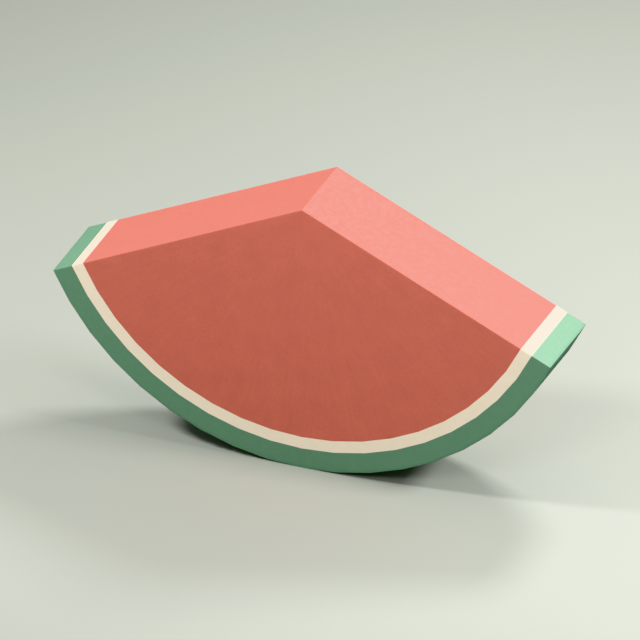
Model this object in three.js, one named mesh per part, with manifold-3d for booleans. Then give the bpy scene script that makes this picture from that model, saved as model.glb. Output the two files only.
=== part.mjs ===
// A watermelon wedge: a pie-shaped piece cut from a round slice of the fruit.
// It is one piece of fruit, so it is one solid. Its flesh, pale inner rind and green rind have
// grown together, and they differ in colour alone, so they are three materials of the one mesh.
//
// Millimetres, +Z up. The wedge stands on its rind with its point up: X runs along its width,
// Y through its thickness, and the origin is on the ground under the middle of the rind.
import * as THREE from "three";
import { mergeVertices } from "three/addons/utils/BufferGeometryUtils.js";
import Module from "manifold-3d";

// Driving dimensions. Radii are measured from the wedge's point, the middle of the round slice.
const RIND_RADIUS = 125;
const PALE_RADIUS = 115.5;
const FLESH_RADIUS = 110;
const SLICE_THICKNESS = 40.5;
const WEDGE_ANGLE = THREE.MathUtils.degToRad(130);
const FACETS = 18; // flat strips round the rind, with a corner at each end and one at the bottom
const REST_FLAT = 8; // width of the small flat spot under the rind, on which the wedge rests

const FACET_ANGLE = WEDGE_ANGLE / FACETS;
// The flat takes the tip off the bottom corner, where each facet rises at half a facet's angle.
const FLAT_DEPTH = (REST_FLAT / 2) * Math.tan(FACET_ANGLE / 2);
const POINT_HEIGHT = RIND_RADIUS - FLAT_DEPTH;

const wasm = await Module();
wasm.setup();

// The corners of a faceted arc round the wedge's point, from its left end to its right end.
function arcCorners(radius) {
  return Array.from({ length: FACETS + 1 }, (_, i) => {
    const angle = i * FACET_ANGLE - WEDGE_ANGLE / 2;
    return new THREE.Vector2(
      radius * Math.sin(angle),
      POINT_HEIGHT - radius * Math.cos(angle),
    );
  });
}

// The outer arc, with its bottom corner cut to the flat spot.
function rindCorners() {
  const corners = arcCorners(RIND_RADIUS);
  const flat = [-REST_FLAT / 2, REST_FLAT / 2].map((x) => new THREE.Vector2(x, 0));
  corners.splice(FACETS / 2, 1, ...flat);
  return corners;
}

// A slab as thick as the slice, whose outline runs along one row of corners and back along another.
function slab(outer, inner) {
  const outline = new THREE.Shape([...outer, ...inner.toReversed()]);
  const geometry = new THREE.ExtrudeGeometry(outline, {
    depth: SLICE_THICKNESS,
    bevelEnabled: false,
  });
  geometry.translate(0, 0, -SLICE_THICKNESS / 2);
  return geometry.rotateX(Math.PI / 2);
}

function solidOf(geometry) {
  geometry.deleteAttribute("normal");
  geometry.deleteAttribute("uv");
  const merged = mergeVertices(geometry);
  const mesh = new wasm.Mesh({
    numProp: 3,
    vertProperties: merged.attributes.position.array,
    triVerts: new Uint32Array(merged.index.array),
  });
  return new wasm.Manifold(mesh).asOriginal();
}

// Colours and finish of the tissues, from the point outwards.
const point = [new THREE.Vector2(0, POINT_HEIGHT)];
const tissues = [
  {
    name: "flesh",
    solid: solidOf(slab(arcCorners(FLESH_RADIUS), point)),
    material: new THREE.MeshStandardMaterial({ color: 0xe36c57, roughness: 0.5, metalness: 0 }),
  },
  {
    name: "pale_rind",
    solid: solidOf(slab(arcCorners(PALE_RADIUS), arcCorners(FLESH_RADIUS))),
    material: new THREE.MeshStandardMaterial({ color: 0xf5e6cd, roughness: 0.55, metalness: 0 }),
  },
  {
    name: "green_rind",
    solid: solidOf(slab(rindCorners(), arcCorners(PALE_RADIUS))),
    material: new THREE.MeshStandardMaterial({ color: 0x62996f, roughness: 0.5, metalness: 0 }),
  },
];

// Joins the tissues in one closed solid. Each run of its triangles remembers the tissue that it
// came from, and becomes a group with that tissue's material.
function wedgeMesh() {
  const joined = tissues.map((tissue) => tissue.solid).reduce((all, next) => all.add(next));
  const { vertProperties, triVerts, runIndex, runOriginalID } = joined.getMesh();
  const geometry = new THREE.BufferGeometry();
  geometry.setAttribute("position", new THREE.BufferAttribute(vertProperties, 3));
  geometry.setIndex(new THREE.BufferAttribute(triVerts, 1));
  runOriginalID.forEach((id, run) => {
    const tissue = tissues.findIndex(({ solid }) => solid.originalID() === id);
    geometry.addGroup(runIndex[run], runIndex[run + 1] - runIndex[run], tissue);
  });
  const flatShaded = geometry.toNonIndexed();
  flatShaded.computeVertexNormals();
  const mesh = new THREE.Mesh(
    flatShaded,
    tissues.map((tissue) => Object.assign(tissue.material, { name: tissue.name })),
  );
  mesh.name = "watermelon_wedge";
  return mesh;
}

const wedge = new THREE.Group();
wedge.add(wedgeMesh());
export default wedge;
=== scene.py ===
import math

import bmesh
import bpy
import numpy as np
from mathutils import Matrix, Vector, noise


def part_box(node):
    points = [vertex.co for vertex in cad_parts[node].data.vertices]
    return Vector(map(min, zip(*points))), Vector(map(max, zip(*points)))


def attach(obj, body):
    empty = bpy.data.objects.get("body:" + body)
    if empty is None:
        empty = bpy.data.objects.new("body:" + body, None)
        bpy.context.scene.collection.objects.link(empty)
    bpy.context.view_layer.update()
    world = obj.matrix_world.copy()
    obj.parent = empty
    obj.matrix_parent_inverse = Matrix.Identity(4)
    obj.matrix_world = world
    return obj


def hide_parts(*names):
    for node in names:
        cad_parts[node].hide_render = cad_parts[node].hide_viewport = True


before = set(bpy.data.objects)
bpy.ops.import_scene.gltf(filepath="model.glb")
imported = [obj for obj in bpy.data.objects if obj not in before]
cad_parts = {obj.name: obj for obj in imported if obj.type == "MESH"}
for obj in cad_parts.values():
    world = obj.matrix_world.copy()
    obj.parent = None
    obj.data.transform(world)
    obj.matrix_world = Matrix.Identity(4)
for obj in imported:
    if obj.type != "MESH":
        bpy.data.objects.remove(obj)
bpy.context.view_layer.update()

MM = 0.001

# The wedge's form. The frame gives its size, and these say how its outline is divided.
NODE = "watermelon_wedge"
HIGH_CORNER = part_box(NODE)[1]
HALF_ANGLE = math.radians(65)  # from straight down to each cut side
FACETS = 18  # flat strips round the rind
FLESH_SHARE = 0.88  # where the flesh ends, as a share of the rind's radius
PALE_SHARE = 0.924  # where the pale rind ends
POINT_HEIGHT = HIGH_CORNER.z
HALF_THICKNESS = HIGH_CORNER.y
RADIUS = HIGH_CORNER.x / math.sin(HALF_ANGLE)
FACET_ANGLE = 2 * HALF_ANGLE / FACETS
MIDDLE = Vector((0.0, 0.0, POINT_HEIGHT / 2))  # halfway up the wedge

# The fine grid over that form.
EDGE_ROUNDING = 0.25 * MM
ROUNDING_ROWS = (0.0, 0.42, 0.73)  # rows of points across a rounded edge, as shares of its radius
RADIAL_STEP = 1.4 * MM
THICKNESS_STEP = 1.4 * MM
STEPS_PER_FACET = 8
COARSEST_LEVEL = 4  # each level towards the point has half as many rays as the one outside it
PLACES_PER_METRE = 1e7  # points that round to the same place are one point
ALMOST_ZERO = 1e-6  # a line whose slope towards a plane is smaller than this never meets it
ON_THE_LINE = 1e-9  # metres; a point this close to a line is on it

# The slight unevenness of a grown and hand-cut surface.
SKIN_UNEVENNESS = 0.1 * MM
CUT_UNEVENNESS = 0.02 * MM
WAVES_PER_METRE, WAVE_SHARE = 70, 0.45
RIPPLES_PER_METRE, RIPPLE_SHARE = 260, 0.15
REST_FADE = 3 * MM  # the unevenness grows over this height, so that the flat spot stays flat
REST_MARGIN = 0.3  # of that height, next to the floor, with none

FLESH, PALE, GREEN, SKIN = range(4)  # the wedge's material slots


# The cross-section and its fine grid

def facet_planes(share):
    """Outward normals and distances from the wedge's point, of the facets at a share of the radius."""
    middles = (np.arange(FACETS) + 0.5) * FACET_ANGLE - HALF_ANGLE
    normals = np.stack([np.sin(middles), -np.cos(middles)], axis=1)
    return normals, np.full(FACETS, share * RADIUS * math.cos(FACET_ANGLE / 2))


def reach(start, direction, share):
    """How far the outline at a share of the radius is from start, along direction."""
    normals, distances = facet_planes(share)
    if share == 1.0:  # the flat spot that the wedge rests on cuts the rind alone
        normals = np.vstack([normals, (0.0, -1.0)])
        distances = np.append(distances, POINT_HEIGHT)
    point = np.array([0.0, POINT_HEIGHT])
    gaps = distances - normals @ (start - point)
    speeds = normals @ direction
    ahead = speeds > ALMOST_ZERO
    return np.min(gaps[ahead] / speeds[ahead])


def near_edges(length, step):
    """Places along a length, in even steps, with closer rows where both ends round off."""
    rows = [EDGE_ROUNDING * share for share in ROUNDING_ROWS]
    inside = np.linspace(EDGE_ROUNDING, length - EDGE_ROUNDING, round(length / step))
    return np.array([*rows, *inside, *[length - row for row in reversed(rows)]])


def radial_places():
    """Shares of the radius where the rings lie, with rings on the borders of the tissues."""
    places = near_edges(RADIUS, RADIAL_STEP) / RADIUS
    for border in (FLESH_SHARE, PALE_SHARE):
        places[np.argmin(abs(places - border))] = border
    return places


def ring_level(share):
    """How many times the rays are halved at a ring, so that the grid stays even towards the point."""
    return math.floor(-math.log2(max(share, 2 ** -COARSEST_LEVEL)))


def line_points(start, angle, places):
    """The ring points on a line that leaves start at an angle from straight down."""
    direction = np.array([math.sin(angle), -math.cos(angle)])
    shares = (0.0, FLESH_SHARE, PALE_SHARE, 1.0)
    lengths = [0.0] + [reach(start, direction, share) for share in shares[1:]]
    return start + np.outer(np.interp(places, shares, lengths), direction)


class Surface:
    """Points and faces of the wedge's sharp surface. Points at the same place are one point."""

    def __init__(self):
        self.points = []
        self.faces = []
        self.tissues = []
        self.creases = []
        self.known = {}

    def point(self, flat, y):
        """The number of the point at (x, z) of the cross-section and y through the thickness."""
        place = (flat[0], y, flat[1])
        key = tuple(round(value * PLACES_PER_METRE) for value in place)
        if key not in self.known:
            self.known[key] = len(self.points)
            self.points.append(place)
        return self.known[key]

    def face(self, corners, tissue):
        """A face between points. Where too few of them are different points, there is no face."""
        corners = list(dict.fromkeys(corners))
        if len(corners) > 2:
            self.faces.append(corners)
            self.tissues.append(tissue)


def tissue_at(share):
    if share < FLESH_SHARE:
        return FLESH
    return PALE if share < PALE_SHARE else GREEN


def ray_angles(start):
    """Angles from straight down of the rays that leave start. Some of them meet each facet corner."""
    arc = np.linspace(-HALF_ANGLE, HALF_ANGLE, FACETS * STEPS_PER_FACET + 1)
    point = np.array([0.0, POINT_HEIGHT])
    directions = np.stack([np.sin(arc), -np.cos(arc)], axis=1)
    ends = [point + reach(point, direction, 1.0) * direction - start for direction in directions]
    inner = [math.atan2(end[0], -end[1]) for end in ends[1:-1]]
    return [-HALF_ANGLE, *inner, HALF_ANGLE]


def cross_section():
    """The grid of the cut faces: strips along both cut sides, and a fan of rays between them."""
    places = radial_places()
    starts = []
    for row in (*ROUNDING_ROWS, 1.0):
        depth = EDGE_ROUNDING * row / math.sin(HALF_ANGLE)
        starts.append(np.array([0.0, POINT_HEIGHT - depth]))
    fan_start = starts.pop()
    left = [line_points(start, -HALF_ANGLE, places) for start in starts]
    right = [line_points(start, HALF_ANGLE, places) for start in starts]
    fan = [line_points(fan_start, angle, places) for angle in ray_angles(fan_start)]
    return places, left, fan, right[::-1]


def add_cut_face(surface, y, section):
    """One of the two large cut faces, at a place through the thickness."""
    places, left, fan, right = section
    middles = (places[1:] + places[:-1]) / 2
    for strip in ([*left, fan[0]], [fan[-1], *right]):
        for near, far in zip(strip, strip[1:]):
            for i, middle in enumerate(middles):
                corners = [near[i], far[i], far[i + 1], near[i + 1]]
                surface.face([surface.point(corner, y) for corner in corners], tissue_at(middle))
    for i, middle in enumerate(middles):
        inner, outer = 2 ** ring_level(places[i]), 2 ** ring_level(places[i + 1])
        for j in range(0, len(fan) - 1, inner):
            rim = [fan[k][i + 1] for k in range(j + inner, j - 1, -outer)]
            corners = [fan[j][i], fan[j + inner][i], *rim]
            surface.face([surface.point(corner, y) for corner in corners], tissue_at(middle))


def add_cut_side(surface, line, places, rows):
    """One of the two narrow cut sides, between the wedge's point and the rind."""
    for i, middle in enumerate((places[1:] + places[:-1]) / 2):
        for y, next_y in zip(rows, rows[1:]):
            corners = [(line[i], y), (line[i + 1], y), (line[i + 1], next_y), (line[i], next_y)]
            surface.face([surface.point(*corner) for corner in corners], tissue_at(middle))


def add_skin(surface, rim, facet_starts, rows):
    """The skin, with a crease across the slice at each point of the rim where a facet starts."""
    for j, (here, after) in enumerate(zip(rim, rim[1:])):
        for y, next_y in zip(rows, rows[1:]):
            corners = [(here, y), (here, next_y), (after, next_y), (after, y)]
            surface.face([surface.point(*corner) for corner in corners], SKIN)
            if j in facet_starts:
                surface.creases.append((surface.point(here, y), surface.point(here, next_y)))


def sharp_surface():
    section = cross_section()
    places, left, fan, right = section
    rows = near_edges(2 * HALF_THICKNESS, THICKNESS_STEP) - HALF_THICKNESS
    surface = Surface()
    for y in (-HALF_THICKNESS, HALF_THICKNESS):
        add_cut_face(surface, y, section)
    add_cut_side(surface, left[0], places, rows)
    add_cut_side(surface, right[-1], places, rows)
    rim = [line[-1] for line in (*left, *fan, *right)]
    facet_starts = {len(left) + STEPS_PER_FACET * facet for facet in range(1, FACETS)}
    add_skin(surface, rim, facet_starts, rows)
    return surface


# Rounded edges and the slight unevenness

def inset_outline():
    """The corners of the cross-section, moved in by the edge rounding."""
    normals, distances = facet_planes(1.0)
    across, up = math.cos(HALF_ANGLE), math.sin(HALF_ANGLE)
    half = FACETS // 2
    normals = np.vstack([(-across, up), normals[:half], (0.0, -1.0), normals[half:], (across, up)])
    distances = np.concatenate([[0.0], distances[:half], [POINT_HEIGHT], distances[half:], [0.0]])
    distances = distances - EDGE_ROUNDING
    pairs = zip(range(len(normals)), np.roll(range(len(normals)), -1))
    corners = [np.linalg.solve(normals[[a, b]], distances[[a, b]]) for a, b in pairs]
    return np.array(corners) + (0.0, POINT_HEIGHT), normals, distances


def nearest_inside(flat):
    """For points on the outline, the nearest points of the inset outline."""
    corners, normals, distances = inset_outline()
    nearest = np.array(flat)
    beyond = (flat - (0.0, POINT_HEIGHT)) @ normals.T > distances + ON_THE_LINE
    gap = np.where(np.any(beyond, axis=1), np.inf, 0.0)
    for start, end in zip(corners, np.roll(corners, -1, axis=0)):
        along = end - start
        share = np.clip((flat - start) @ along / (along @ along), 0, 1)
        spot = start + share[:, None] * along
        distance = np.linalg.norm(flat - spot, axis=1)
        closer = distance < gap
        nearest[closer] = spot[closer]
        gap = np.minimum(gap, distance)
    return nearest


def rounded(points):
    """Moves the points near an edge on to a rounding, and returns the new points with their normals."""
    flat = nearest_inside(points[:, [0, 2]])
    depth = HALF_THICKNESS - EDGE_ROUNDING
    cores = np.stack([flat[:, 0], np.clip(points[:, 1], -depth, depth), flat[:, 1]], axis=1)
    normals = points - cores
    normals /= np.linalg.norm(normals, axis=1)[:, None]
    return cores + EDGE_ROUNDING * normals, normals


def zero_to_one(value):
    return min(1.0, max(0.0, value))


def unevenness(point, normal):
    """How far a point lies inside the true form, which never grows beyond it."""
    outward = Vector((point[0], 0.0, point[2] - POINT_HEIGHT)).normalized()
    on_skin = max(0.0, outward.dot(normal))
    above_rest = zero_to_one(point[2] / REST_FADE - REST_MARGIN)
    wave = noise.noise(Vector(point) * WAVES_PER_METRE, noise_basis="PERLIN_NEW")
    ripple = noise.noise(Vector(point) * RIPPLES_PER_METRE, noise_basis="PERLIN_NEW")
    size = CUT_UNEVENNESS + (SKIN_UNEVENNESS - CUT_UNEVENNESS) * on_skin
    return size * above_rest * zero_to_one(0.5 + WAVE_SHARE * wave + RIPPLE_SHARE * ripple)


def build_wedge():
    surface = sharp_surface()
    points, normals = rounded(np.array(surface.points))
    inward = np.array([unevenness(point, normal) for point, normal in zip(points, normals)])
    points = points - normals * inward[:, None]
    mesh = bpy.data.meshes.new("wedge")
    mesh.from_pydata(points.tolist(), [], surface.faces)
    mesh.polygons.foreach_set("material_index", surface.tissues)
    mesh.polygons.foreach_set("use_smooth", [True] * len(mesh.polygons))
    creases = {frozenset(pair) for pair in surface.creases}
    for edge in mesh.edges:
        edge.use_edge_sharp = frozenset(edge.vertices) in creases
    fine = bmesh.new()
    fine.from_mesh(mesh)
    bmesh.ops.recalc_face_normals(fine, faces=fine.faces)
    fine.to_mesh(mesh)
    fine.free()
    wedge = bpy.data.objects.new("wedge", mesh)
    bpy.context.scene.collection.objects.link(wedge)
    return wedge


# Finishes

BUMP_STRENGTH = 0.5
CELL_SMOOTHNESS = 0.35
NOISE_RANGE = (0.3, 0.7)  # almost all values of a noise lie in it


class Finish:
    """A material whose nodes are added one call at a time, each with its inputs set or linked."""

    def __init__(self, name):
        self.material = bpy.data.materials.new(name)
        self.material.use_nodes = True
        self.nodes = self.material.node_tree.nodes
        self.links = self.material.node_tree.links
        self.shader = self.nodes["Principled BSDF"]
        self.place = self.add("TexCoord").outputs["Object"]

    def put(self, socket, value):
        if isinstance(value, bpy.types.NodeSocket):
            self.links.new(value, socket)
        else:
            socket.default_value = value

    def add(self, kind, inputs=None, **settings):
        node = self.nodes.new("ShaderNode" + kind)
        for name, value in settings.items():
            setattr(node, name, value)
        for name, value in (inputs or {}).items():
            self.put(node.inputs[name], value)
        return node

    def maths(self, operation, *values):
        return self.add("Math", dict(enumerate(values)), operation=operation).outputs[0]

    def noise(self, size, detail=2.0, roughness=0.5, distortion=0.0, place=None):
        """Soft random values around 0.5, whose blots are about size across."""
        inputs = {"Vector": place or self.place, "Scale": 1 / size, "Detail": detail}
        inputs.update({"Roughness": roughness, "Distortion": distortion})
        return self.add("TexNoise", inputs).outputs["Fac"]

    def cells(self, size):
        """Rounded cells of about size: 0 in the middle of a cell, up to 1 between cells."""
        inputs = {"Vector": self.place, "Scale": 1 / size, "Smoothness": CELL_SMOOTHNESS}
        return self.add("TexVoronoi", inputs, feature="SMOOTH_F1").outputs["Distance"]

    def spread(self, value, low, high, to_low=0.0, to_high=1.0):
        """Stretches the values from low to high over to_low to to_high."""
        inputs = {"Value": value, "From Min": low, "From Max": high}
        inputs.update({"To Min": to_low, "To Max": to_high})
        return self.add("MapRange", inputs, interpolation_type="SMOOTHSTEP").outputs["Result"]

    def weighted(self, *pairs, start=0.0):
        """The start, plus the sum of values, each times its weight."""
        total = start
        for value, weight in pairs:
            total = self.maths("MULTIPLY_ADD", value, weight, total)
        return total

    def round_coordinates(self):
        """The angle round the melon's axis, the place along that axis, and the distance from it."""
        axis = (0.0, 0.0, -POINT_HEIGHT)
        inputs = {0: self.place, 1: (1.0, 0.0, 1.0), 2: axis}
        arm = self.add("VectorMath", inputs, operation="MULTIPLY_ADD").outputs["Vector"]
        radius = self.add("VectorMath", {0: arm}, operation="LENGTH").outputs["Value"]
        flat = self.add("SeparateXYZ", {"Vector": arm}).outputs
        angle = self.maths("ARCTAN2", flat["X"], self.maths("MULTIPLY", flat["Z"], -1.0))
        along = self.add("SeparateXYZ", {"Vector": self.place}).outputs["Y"]
        return angle, along, radius

    def stretched(self, coordinates, scales):
        scaled = [self.maths("MULTIPLY", value, scale) for value, scale in zip(coordinates, scales)]
        return self.add("CombineXYZ", dict(enumerate(scaled))).outputs["Vector"]

    def colour(self, base, low_shade, high_shade, share):
        """Sets the colour: the base at low_shade where the share is 0, and at high_shade where it is 1."""
        node = self.add("Mix", data_type="RGBA")
        ends = [(*(channel * shade for channel in base), 1.0) for shade in (low_shade, high_shade)]
        values = {"Factor_Float": share, "A_Color": ends[0], "B_Color": ends[1]}
        for socket in node.inputs:
            if socket.identifier in values:
                self.put(socket, values[socket.identifier])
        mixed = next(socket for socket in node.outputs if socket.identifier == "Result_Color")
        self.put(self.shader.inputs["Base Color"], mixed)

    def roughness(self, patch_size, smoothest, roughest):
        """Sets a roughness that differs from patch to patch."""
        patches = self.spread(self.noise(patch_size), *NOISE_RANGE, smoothest, roughest)
        self.put(self.shader.inputs["Roughness"], patches)

    def bump(self, height, depth):
        inputs = {"Height": height, "Distance": depth, "Strength": BUMP_STRENGTH}
        self.put(self.shader.inputs["Normal"], self.add("Bump", inputs).outputs["Normal"])

    def constant(self, **values):
        """Sets shader inputs that are the same all over."""
        for name, value in values.items():
            self.shader.inputs[name.replace("_", " ")].default_value = value


def flesh_finish():
    """Moist red flesh: juice cells about a millimetre across, faint fibres from the middle out."""
    base = (0.522, 0.1405, 0.1025)
    contrast = 0.1
    cell_size = 1.1 * MM
    cell_depth = 0.05 * MM
    cloud_size = 9 * MM
    fibre_counts = (50, 600, 70)  # per radian round the melon, per metre along its axis and outwards
    glow_reach = 1.5 * MM  # how far light spreads under the surface
    glow_shares = (1.0, 0.35, 0.25)  # of that reach, for red, green and blue
    finish = Finish("watermelon_flesh")
    fibres = finish.noise(1.0, place=finish.stretched(finish.round_coordinates(), fibre_counts))
    cells = finish.cells(cell_size)
    clouds = finish.noise(cloud_size, detail=3.0)
    share = finish.weighted((clouds, 0.7), (cells, 0.35), (fibres, 0.5), start=-0.225)
    finish.colour(base, 1 - contrast, 1 + contrast, share)
    finish.roughness(patch_size=2 * MM, smoothest=0.58, roughest=0.70)
    finish.bump(finish.weighted((cells, 1.0), (fibres, 0.6)), cell_depth)
    finish.constant(
        Specular_IOR_Level=0.4,
        Subsurface_Weight=0.1,
        Subsurface_Scale=glow_reach,
        Subsurface_Radius=glow_shares,
    )
    return finish.material


def rind_finish(name, base, cloud_size, cell_size, contrast):
    """The cut rind, whose cells are finer and firmer than the flesh's."""
    cell_depth = 0.03 * MM
    finish = Finish(name)
    cells = finish.cells(cell_size)
    share = finish.weighted((finish.noise(cloud_size, detail=3.0), 0.7), (cells, 0.3))
    finish.colour(base, 1 - contrast, 1 + contrast, share)
    finish.roughness(patch_size=1.5 * MM, smoothest=0.54, roughest=0.68)
    finish.bump(cells, cell_depth)
    return finish.material


def pale_finish():
    """The firm cream-white inner rind."""
    base = (0.800, 0.693, 0.547)
    return rind_finish("watermelon_pale_rind", base, cloud_size=4 * MM, cell_size=0.6 * MM, contrast=0.05)


def green_finish():
    """The cut edge of the green rind."""
    base = (0.116, 0.2355, 0.148)
    return rind_finish("watermelon_green_rind", base, cloud_size=5 * MM, cell_size=0.7 * MM, contrast=0.07)


def skin_finish():
    """The waxy outer skin, with soft darker stripes that run across the slice."""
    base = (0.068, 0.150, 0.096)
    pale_shade, dark_shade = 1.08, 0.74
    stripe_width = 16 * MM
    stripe_length = 45 * MM
    stripe_edges = (0.42, 0.6)  # of the marbling, from pale to dark
    fleck_size = 1.3 * MM
    pore_size = 0.9 * MM
    pore_depth = 0.032 * MM
    finish = Finish("watermelon_skin")
    angle, along, _ = finish.round_coordinates()
    place = finish.stretched((angle, along, 0.0), (RADIUS / stripe_width, 1 / stripe_length, 0.0))
    marbling = finish.noise(1.0, detail=4.0, roughness=0.6, distortion=0.8, place=place)
    stripes = finish.spread(marbling, *stripe_edges)
    share = finish.weighted((stripes, 0.8), (finish.noise(fleck_size), 0.4), start=-0.2)
    finish.colour(base, pale_shade, dark_shade, share)
    finish.roughness(patch_size=3 * MM, smoothest=0.72, roughest=0.88)
    finish.bump(finish.noise(pore_size, detail=3.0), pore_depth)
    finish.constant(Specular_IOR_Level=0.1)
    return finish.material


def floor_finish():
    """A plain matte studio floor."""
    base = (0.3095, 0.326, 0.2845)
    contrast = 0.005
    cloud_size = 120 * MM
    finish = Finish("floor")
    finish.colour(base, 1 - contrast, 1 + contrast, finish.noise(cloud_size))
    finish.constant(Roughness=0.85)
    return finish.material


# Floor, light and camera. Their places and sizes are in metres.

FLOOR_HALF = 3.0  # half the side of the square floor
LIGHTS = {
    # name: place, diameter and watts of a disk that faces the wedge
    "behind": ((0.087, 0.388, 0.511), 0.17, 3.56),
    "front_left": ((-0.368, -0.171, 0.427), 0.08, 2.67),
    "right": ((0.358, -0.007, 0.285), 0.07, 1.79),
    "front_right": ((0.120, -0.240, 0.250), 0.10, 0.34),
}
AMBIENT = 0.46  # strength of the white light from all round

# The photograph's view: from above and a little to the right of the front, with no perspective.
CAMERA_AZIMUTH = math.radians(21.85)
CAMERA_ELEVATION = math.radians(29.30)
CAMERA_DISTANCE = 1.5
FRAME_WIDTH = 0.27038
FRAME_RIGHT = 0.000177  # of the frame's middle from the wedge's
FRAME_UP = -0.001264


def build_floor():
    mesh = bpy.data.meshes.new("floor")
    corners = [(x * FLOOR_HALF, y * FLOOR_HALF, 0.0) for x, y in ((-1, -1), (1, -1), (1, 1), (-1, 1))]
    mesh.from_pydata(corners, [], [(0, 1, 2, 3)])
    floor = bpy.data.objects.new("floor", mesh)
    bpy.context.scene.collection.objects.link(floor)
    mesh.materials.append(floor_finish())


def build_lights():
    for name, (place, diameter, watts) in LIGHTS.items():
        data = bpy.data.lights.new(name, "AREA")
        data.shape = "DISK"
        data.size = diameter
        data.energy = watts
        light = bpy.data.objects.new(name, data)
        light.location = place
        light.rotation_euler = (Vector(place) - MIDDLE).to_track_quat("Z", "Y").to_euler()
        bpy.context.scene.collection.objects.link(light)


def build_world():
    world = bpy.data.worlds.new("studio")
    world.use_nodes = True
    backdrop = world.node_tree.nodes["Background"]
    backdrop.inputs["Color"].default_value = (1.0, 1.0, 1.0, 1.0)
    backdrop.inputs["Strength"].default_value = AMBIENT
    bpy.context.scene.world = world


def build_camera():
    azimuth, elevation = CAMERA_AZIMUTH, CAMERA_ELEVATION
    back = Vector((
        math.sin(azimuth) * math.cos(elevation),
        -math.cos(azimuth) * math.cos(elevation),
        math.sin(elevation),
    ))
    right = Vector((math.cos(azimuth), math.sin(azimuth), 0.0))
    up = back.cross(right)
    data = bpy.data.cameras.new("camera")
    data.type = "ORTHO"
    data.ortho_scale = FRAME_WIDTH
    camera = bpy.data.objects.new("camera", data)
    camera.location = MIDDLE + right * FRAME_RIGHT + up * FRAME_UP + back * CAMERA_DISTANCE
    camera.rotation_euler = back.to_track_quat("Z", "Y").to_euler()
    bpy.context.scene.collection.objects.link(camera)
    bpy.context.scene.camera = camera


wedge = build_wedge()
for material in (flesh_finish(), pale_finish(), green_finish(), skin_finish()):
    wedge.data.materials.append(material)
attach(wedge, "root")
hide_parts(NODE)

build_floor()
build_lights()
build_world()
build_camera()
bpy.context.scene.view_settings.view_transform = "Khronos PBR Neutral"
